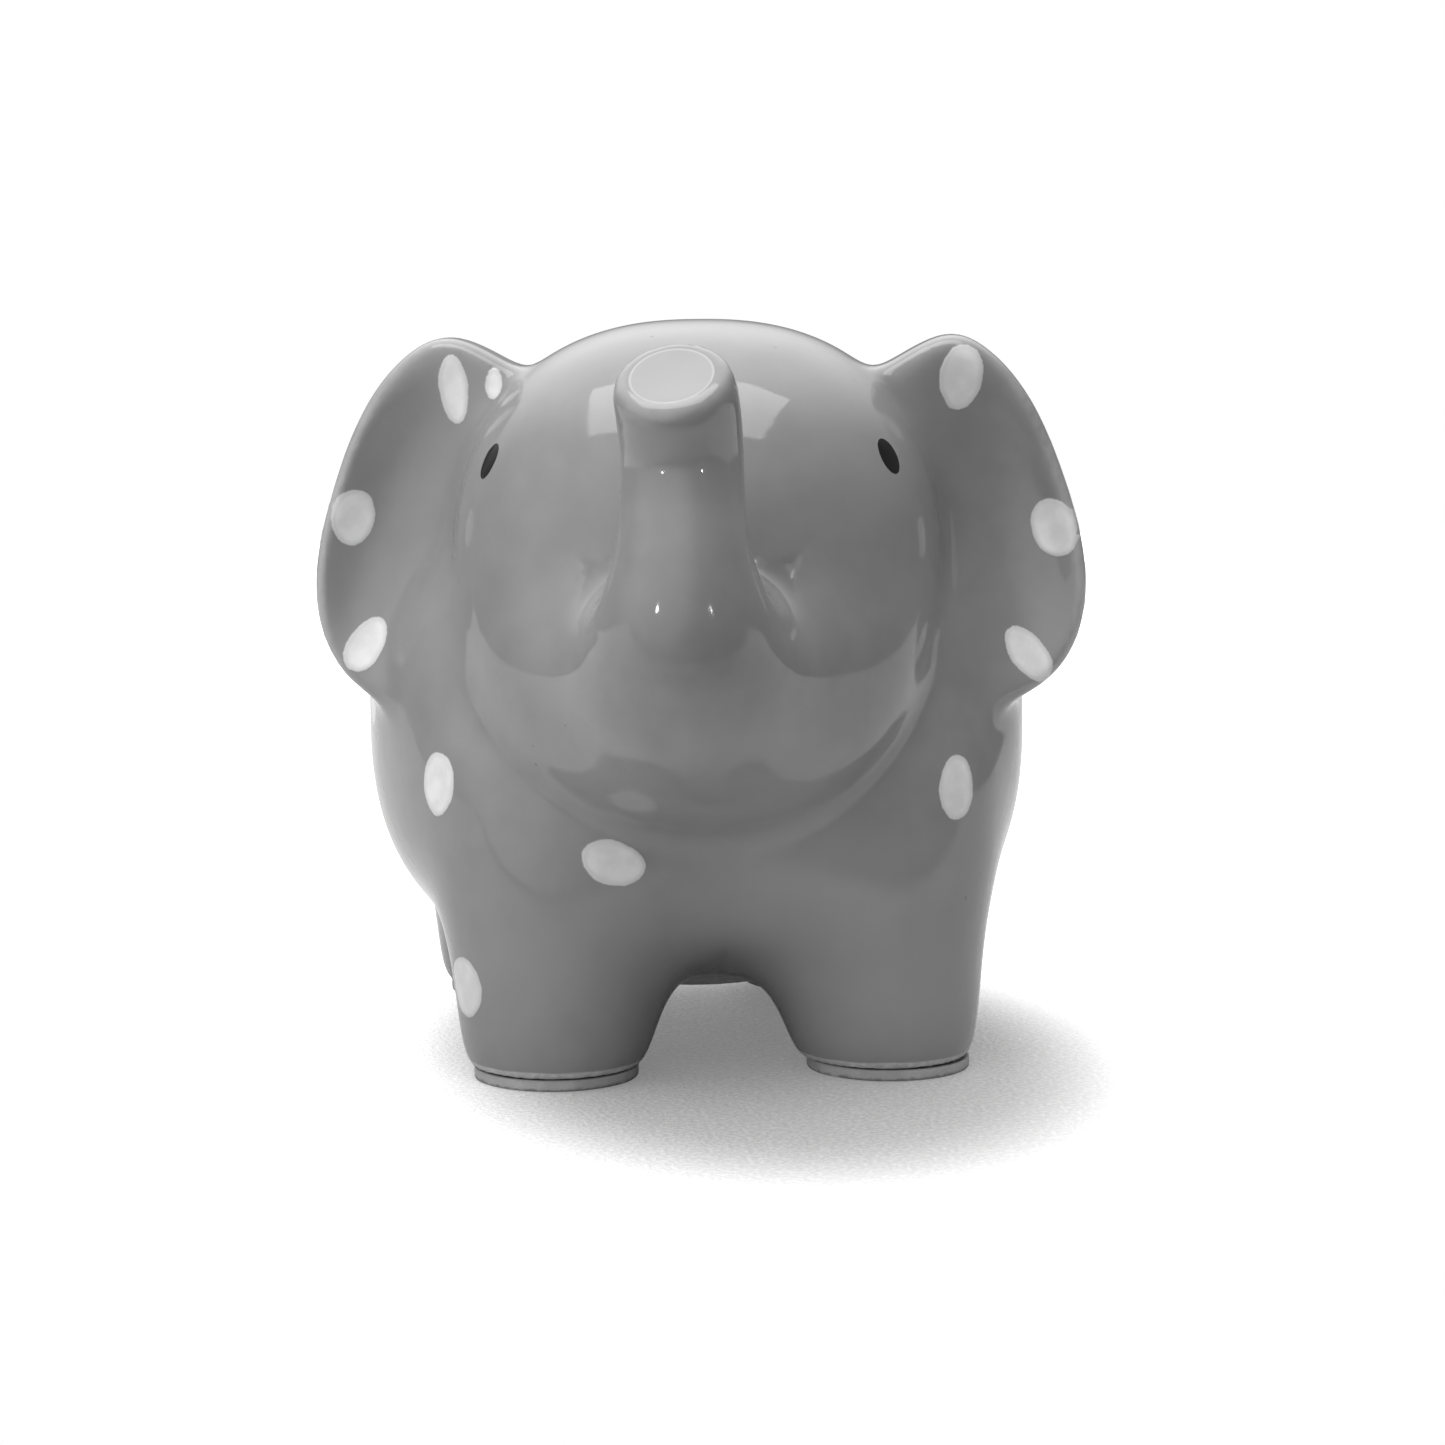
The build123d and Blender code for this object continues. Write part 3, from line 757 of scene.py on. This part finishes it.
def glaze():
    material, tree, surface = new_material("grey_glaze")
    drift = ranged(tree, noise(tree, 28.0, 3.0), 0.35, 0.65)
    clouds = ranged(tree, noise(tree, 160.0, 2.0, offset=(3, 1, 2)), 0.3, 0.7)
    colour = mixed(tree, drift, grey(0.225), grey(0.265))
    colour = tinted(tree, colour, clouds, 0.25, 0.29)
    bend = attribute(tree, "bend")
    thinned = maths(tree, "ADD", bend, ranged(tree, noise(tree, 260.0), 0.3, 0.7, -0.03, 0.03))
    thin = ranged(tree, thinned, 0.22, 0.62)
    colour = tinted(tree, colour, thin, 0.55, 0.52)
    # paler along the crisp rim round the trunk's end: thin glaze there, and partly a painted highlight
    rim = ranged(tree, maths(tree, "ABSOLUTE", attribute(tree, "rim")), 0.30, 0.05)
    colour = tinted(tree, colour, rim, 0.4, 0.62)
    # the end face inside the rim is painted paler: painted light, for the light that falls on it from above
    face = ranged(tree, attribute(tree, "rim"), 0.1, -0.2)
    colour = tinted(tree, colour, face, 0.3, 0.50)
    pooled = ranged(tree, bend, -0.05, -0.35)
    colour = tinted(tree, colour, pooled, 0.5, 0.17)

    # pale slip dots, a little uneven in thickness, under the same glaze
    ragged = ranged(tree, noise(tree, 500.0, 3.0, 0.6), 0.25, 0.75, -0.14, 0.14, smooth=False)
    dot_edge = maths(tree, "ADD", attribute(tree, "dot"), ragged)
    dot = ranged(tree, dot_edge, 0.12, -0.18)
    depth = ranged(tree, dot_edge, -0.1, -1.3)
    streaks = ranged(tree, noise(tree, 260.0, 3.0, offset=(5, 2, 8)), 0.3, 0.7)
    slip = mixed(tree, streaks, grey(0.70), grey(0.80))
    slip = mixed(tree, depth, grey(0.62), slip)
    colour = mixed(tree, dot, colour, slip)

    # darker towards the feet: painted shade, for the dimmer light low down by the table;
    # darker towards the feet, as in the photo, where it may be thicker glaze or only shade
    place = node(tree, "ShaderNodeTexCoord").outputs["Object"]
    height = node(tree, "ShaderNodeSeparateXYZ", {"Vector": place}).outputs["Z"]
    thick = ranged(tree, height, 0.070, 0.015)
    colour = tinted(tree, colour, thick, 0.28, 0.09)

    eye = ranged(tree, attribute(tree, "eye"), 0.06, -0.10)
    colour = mixed(tree, eye, colour, grey(0.006))

    # specks in the glaze
    specks = node(tree, "ShaderNodeTexVoronoi", {"Vector": place, "Scale": 260.0, "Randomness": 1.0})
    speck_size = maths(tree, "MULTIPLY", ranged(tree, noise(tree, 40.0, offset=(7, 7, 1)), 0.55, 0.75), 0.11)
    speck = maths(tree, "LESS_THAN", specks.outputs["Distance"], speck_size)
    colour = tinted(tree, colour, speck, 0.45, 0.12)

    # the bare clay ring under each foot, where the glaze was wiped off
    wiped = maths(tree, "ADD", height, ranged(tree, noise(tree, 150.0, 2.0), 0.3, 0.7, -0.00013, 0.00013))
    bare = ranged(tree, wiped, 0.0037, 0.0033)
    clay = mixed(tree, ranged(tree, noise(tree, 900.0, 4.0), 0.3, 0.7), grey(0.34), grey(0.46))
    colour = mixed(tree, bare, colour, clay)
    tree.links.new(colour, surface.inputs["Base Color"])

    gloss = ranged(tree, noise(tree, 90.0, 3.0, offset=(1, 4, 9)), 0.3, 0.7, 0.05, 0.11)
    gloss = maths(tree, "ADD", gloss, maths(tree, "MULTIPLY", dot, 0.03))
    gloss = maths(tree, "ADD", gloss, maths(tree, "MULTIPLY", bare, 0.6))
    tree.links.new(gloss, surface.inputs["Roughness"])
    surface.inputs["IOR"].default_value = 1.52

    ripple = maths(tree, "MULTIPLY", noise(tree, 150.0, 2.0, offset=(2, 2, 2)), 0.00006)
    peel = maths(tree, "MULTIPLY", noise(tree, 900.0, 2.0, offset=(4, 0, 3)), 0.000006)
    raised = maths(tree, "MULTIPLY", ranged(tree, dot_edge, 0.3, -0.6), 0.00010)
    relief = maths(tree, "ADD", maths(tree, "ADD", ripple, peel), raised)
    relief = maths(tree, "SUBTRACT", relief, maths(tree, "MULTIPLY", speck, 0.00003))
    grain = maths(tree, "MULTIPLY", maths(tree, "MULTIPLY", noise(tree, 2500.0, 3.0), 0.00015), bare)
    relief = maths(tree, "ADD", relief, grain)
    bumped(tree, surface, relief)
    return material


def bumped(tree, surface, height):
    bump = node(tree, "ShaderNodeBump", {"Height": height, "Distance": 1.0, "Strength": 1.0})
    tree.links.new(bump.outputs[0], surface.inputs["Normal"])


def foam():
    """Pale closed-cell foam: cut cells on its sides, darker in a band along the bottom, where it meets the
    table.
    """
    material, tree, surface = new_material("pale_foam")
    place = node(tree, "ShaderNodeTexCoord").outputs["Object"]
    cells = node(tree, "ShaderNodeTexVoronoi", {"Vector": place, "Scale": 2600.0, "Randomness": 1.0})
    cell = ranged(tree, cells.outputs["Distance"], 0.15, 0.65)
    colour = mixed(tree, ranged(tree, noise(tree, 240.0, 3.0), 0.3, 0.7), grey(0.34), grey(0.42))
    colour = tinted(tree, colour, cell, 0.35, 0.30)
    nicks = ranged(tree, noise(tree, 700.0, 2.0, offset=(6, 1, 3)), 0.68, 0.76)
    colour = tinted(tree, colour, nicks, 0.5, 0.62)
    height = node(tree, "ShaderNodeSeparateXYZ", {"Vector": place}).outputs["Z"]
    uneven = ranged(tree, noise(tree, 500.0, 3.0, offset=(1, 8, 1)), 0.3, 0.7, -0.0003, 0.0003)
    # a darker band along the bottom of the pad, where it meets the table
    dark_bottom_band = ranged(tree, maths(tree, "ADD", height, uneven), 0.0007, 0.0001)
    colour = tinted(tree, colour, dark_bottom_band, 0.7, 0.10)
    tree.links.new(colour, surface.inputs["Base Color"])
    tree.links.new(ranged(tree, noise(tree, 600.0), 0.3, 0.7, 0.68, 0.88), surface.inputs["Roughness"])
    relief = maths(tree, "MULTIPLY", cell, -0.00003)
    relief = maths(tree, "ADD", relief, maths(tree, "MULTIPLY", noise(tree, 900.0, 3.0), 0.00008))
    bumped(tree, surface, relief)
    return material


def adhesive():
    """Tacky adhesive with dust on it, near black: partly its own colour, partly painted shade for the narrow
    gap under the foot.
    """
    material, tree, surface = new_material("adhesive_and_gap_shade")
    # near black: partly the adhesive's own colour, partly painted shade for the gap between pad and foot
    colour = mixed(tree, ranged(tree, noise(tree, 400.0, 3.0), 0.35, 0.65), grey(0.015), grey(0.05))
    dust = ranged(tree, noise(tree, 1800.0, 2.0, offset=(4, 4, 2)), 0.62, 0.72)
    colour = tinted(tree, colour, dust, 0.6, 0.22)
    tree.links.new(colour, surface.inputs["Base Color"])
    tree.links.new(ranged(tree, noise(tree, 700.0), 0.3, 0.7, 0.35, 0.65), surface.inputs["Roughness"])
    bumped(tree, surface, maths(tree, "MULTIPLY", noise(tree, 1200.0, 3.0), 0.0001))
    return material


RUBBED_RIM = 1.6             # width of the rubbed band, in millimetres
FLOW_RINGS = 5200.0          # radians to a metre, so rings 1.2 mm apart


def rubber():
    """Milky matt soft plastic with a mould grain, rubbed smoother and dirtier on the rim."""
    material, tree, surface = new_material("milky_rubber")
    place = node(tree, "ShaderNodeTexCoord").outputs["Object"]
    centred = node(tree, "ShaderNodeMapping", {"Vector": place, "Location": (-HOLE_X * MM, -HOLE_Y * MM, 0)})
    flat = node(tree, "ShaderNodeVectorMath", {0: centred.outputs[0], 1: (1, 1, 0)}, operation="MULTIPLY")
    out = node(tree, "ShaderNodeVectorMath", {0: flat.outputs[0]}, operation="LENGTH").outputs["Value"]
    colour = mixed(tree, ranged(tree, noise(tree, 90.0, 3.0), 0.3, 0.7), grey(0.50), grey(0.58))
    blotch = ranged(tree, noise(tree, 350.0, 3.0, offset=(2, 5, 5)), 0.52, 0.70)
    colour = tinted(tree, colour, blotch, 0.25, 0.40)
    uneven = ranged(tree, noise(tree, 300.0, 3.0, offset=(3, 3, 7)), 0.3, 0.7, -0.001, 0.001)
    rim = ranged(tree, maths(tree, "ADD", out, uneven), (FLANGE_RADIUS - RUBBED_RIM) * MM, FLANGE_RADIUS * MM)
    colour = tinted(tree, colour, rim, 0.45, 0.30)
    tree.links.new(colour, surface.inputs["Base Color"])
    matt = ranged(tree, noise(tree, 260.0, 2.0), 0.3, 0.7, 0.42, 0.60)
    matt = maths(tree, "SUBTRACT", matt, maths(tree, "MULTIPLY", rim, 0.12))
    tree.links.new(matt, surface.inputs["Roughness"])
    surface.inputs["Subsurface Weight"].default_value = 0.25
    surface.inputs["Subsurface Radius"].default_value = (0.002, 0.002, 0.002)
    surface.inputs["Subsurface Scale"].default_value = 1.0
    grain = maths(tree, "MULTIPLY", noise(tree, 3000.0, 2.0), 0.00002)
    flow = maths(tree, "MULTIPLY", maths(tree, "SINE", maths(tree, "MULTIPLY", out, FLOW_RINGS)), 0.000004)
    bumped(tree, surface, maths(tree, "ADD", grain, flow))
    return material


def dress(pieces, material):
    for piece in pieces:
        piece.data.materials.clear()
        piece.data.materials.append(material)


dress([elephant_piece], glaze())
dress(pads, foam())
dress(adhesives, adhesive())
dress([stopper_piece], rubber())

# ---------------------------------------------------------------- table, backdrop and lights
TABLE_FRONT, TABLE_BACK, TABLE_SIDE = -0.17, 1.2, 0.9
TABLE_Z = -0.00005             # just clear of the foam, so that the two do not share a plane
TABLE_BOUNCE = 0.66            # how pale the table is as a light on the elephant
SHADE_FROM, SHADE_TO = 0.05, 0.12                 # from the middle of the shade
GLOW_FROM, GLOW_TO, GLOW = 0.055, 0.135, 0.19     # the glow under the feet, which grows to 1
DIM_EDGE = 0.05
SHADE_PLACE, SHADE_STRETCH = (-0.017, 0.018, 0), (1.42, 0.9, 1)
CEILING = 1.8
GROUND = 0.05
FILL, FILL_FROM = 1.05, (-0.64, -0.66, 0.39)
SOFTBOX_PLACE, SOFTBOX_AIM, SOFTBOX_SIZE = (-0.12, -0.25, 1.0), (0.0, -0.05, 0.0), (0.95, 0.60)
SOFTBOX_POWER, SOFTBOX_TURN = 5.8, radians(10)
LAMP_BEARING, LAMP_DISTANCE, LAMP_DROP, LAMP_POWER, LAMP_SIZE = radians(38.8), 0.30, 0.017, 0.6, 0.014
LAMP_CONE, LAMP_CONE_BLEND = radians(5.4), 0.3
TRUNK_AIM, AIM_APART = Vector((-0.009, -0.078, 0.103)), 0.013


def make_table():
    """The camera sees paper that is painted darker round the feet, to deepen the cast shadow, and that
    glows further out, to fade into the background. As light and in reflections it is another, plain
    table, dark only along its front edge."""
    mesh = bpy.data.meshes.new("table")
    corners = ((-TABLE_SIDE, TABLE_FRONT), (TABLE_SIDE, TABLE_FRONT),
               (TABLE_SIDE, TABLE_BACK), (-TABLE_SIDE, TABLE_BACK))
    mesh.from_pydata([(x, y, TABLE_Z) for x, y in corners], [], [(0, 1, 2, 3)])
    table = bpy.data.objects.new("table", mesh)
    bpy.context.scene.collection.objects.link(table)
    material, tree, surface = new_material("table_white")
    grain = ranged(tree, noise(tree, 1100.0, 3.0), 0.35, 0.65)
    place = node(tree, "ShaderNodeTexCoord").outputs["Object"]
    pulled = node(tree, "ShaderNodeMapping",
                  {"Vector": place, "Location": SHADE_PLACE, "Scale": SHADE_STRETCH})
    away = node(tree, "ShaderNodeVectorMath", {0: pulled.outputs[0]}, operation="LENGTH").outputs["Value"]
    paper = mixed(tree, ranged(tree, away, SHADE_FROM, SHADE_TO), mixed(tree, grain, grey(0.24), grey(0.36)),
                  mixed(tree, grain, grey(0.62), grey(0.74)))
    seen = node(tree, "ShaderNodeLightPath").outputs["Is Camera Ray"]
    along = node(tree, "ShaderNodeSeparateXYZ", {"Vector": place}).outputs["Y"]
    edge = ranged(tree, along, TABLE_FRONT, TABLE_FRONT + DIM_EDGE)
    bounce = mixed(tree, edge, grey(0.2), grey(TABLE_BOUNCE))
    tree.links.new(mixed(tree, seen, bounce, paper), surface.inputs["Base Color"])
    surface.inputs["Roughness"].default_value = 0.6
    bumped(tree, surface, maths(tree, "MULTIPLY", grain, 0.00022))
    fade = ranged(tree, away, GLOW_FROM, GLOW_TO, GLOW, 1.0)
    fade = maths(tree, "MULTIPLY", fade, seen)
    tree.links.new(fade, surface.inputs["Emission Strength"])
    surface.inputs["Emission Color"].default_value = grey(1.0)
    # seen from below, the table is clear, so that the feet and the stopper show
    clear = node(tree, "ShaderNodeBsdfTransparent").outputs[0]
    underneath = node(tree, "ShaderNodeNewGeometry").outputs["Backfacing"]
    two_sided = node(tree, "ShaderNodeMixShader", {0: underneath, 1: surface.outputs[0], 2: clear})
    tree.links.new(two_sided.outputs[0], tree.nodes["Material Output"].inputs["Surface"])
    mesh.materials.append(material)


def make_lamp(name, place, aim, size, power, turn):
    data = bpy.data.lights.new(name, "AREA")
    data.shape = "RECTANGLE"
    data.size, data.size_y = size
    data.energy = power
    lamp = bpy.data.objects.new(name, data)
    lamp.location = place
    lamp.rotation_mode = "QUATERNION"
    look = (Vector(aim) - Vector(place)).to_track_quat("-Z", "Y")
    lamp.rotation_quaternion = look @ Quaternion((0, 0, 1), turn)
    bpy.context.scene.collection.objects.link(lamp)


def make_spot(side):
    """A small lamp with a narrow cone, aimed at the trunk."""
    bearing = CAMERA_TURN + side * LAMP_BEARING
    across = Vector((cos(bearing), -sin(bearing), 0))
    place = TRUNK_AIM + Vector((-sin(bearing) * LAMP_DISTANCE, -cos(bearing) * LAMP_DISTANCE, -LAMP_DROP))
    data = bpy.data.lights.new(f"trunk_lamp_{side}", "SPOT")
    data.energy = LAMP_POWER
    data.shadow_soft_size = LAMP_SIZE
    data.spot_size = LAMP_CONE
    data.spot_blend = LAMP_CONE_BLEND
    lamp = bpy.data.objects.new(data.name, data)
    lamp.location = place
    lamp.rotation_mode = "QUATERNION"
    aim = TRUNK_AIM - side * AIM_APART * across
    lamp.rotation_quaternion = (aim - place).to_track_quat("-Z", "Y")
    bpy.context.scene.collection.objects.link(lamp)


def make_world():
    """Plain white to the camera. As light and in reflections, a bright ceiling that starts over the
    elephant and runs back, and dim surroundings that are darkest in front."""
    world = bpy.data.worlds.new("studio")
    world.use_nodes = True
    tree = world.node_tree
    background = tree.nodes["Background"]
    direction = node(tree, "ShaderNodeTexCoord").outputs["Generated"]
    axes = node(tree, "ShaderNodeSeparateXYZ", {"Vector": direction}).outputs
    walls = ranged(tree, axes["Y"], -0.6, 0.5, 0.11, 0.18)
    overhead = maths(tree, "MULTIPLY_ADD", axes["Y"], 0.55, axes["Z"])
    ceiling = ranged(tree, overhead, 0.55, 1.1, 0.0, CEILING)
    left = node(tree, "ShaderNodeVectorMath", {0: direction, 1: FILL_FROM}, operation="DOT_PRODUCT")
    fill = ranged(tree, left.outputs["Value"], 0.35, 0.95, 0.0, FILL)
    ground = ranged(tree, axes["Z"], 0.02, -0.10, 0.0, GROUND)
    light = maths(tree, "ADD", maths(tree, "ADD", walls, ceiling), maths(tree, "ADD", fill, ground))
    strength = maths(tree, "MAXIMUM", light, node(tree, "ShaderNodeLightPath").outputs["Is Camera Ray"])
    tree.links.new(strength, background.inputs["Strength"])
    background.inputs["Color"].default_value = grey(1.0)
    bpy.context.scene.world = world


make_table()
make_world()
make_lamp("softbox", SOFTBOX_PLACE, SOFTBOX_AIM, SOFTBOX_SIZE, SOFTBOX_POWER, SOFTBOX_TURN)
for side in (-1, 1):
    make_spot(side)
bpy.context.scene.view_settings.view_transform = "Standard"
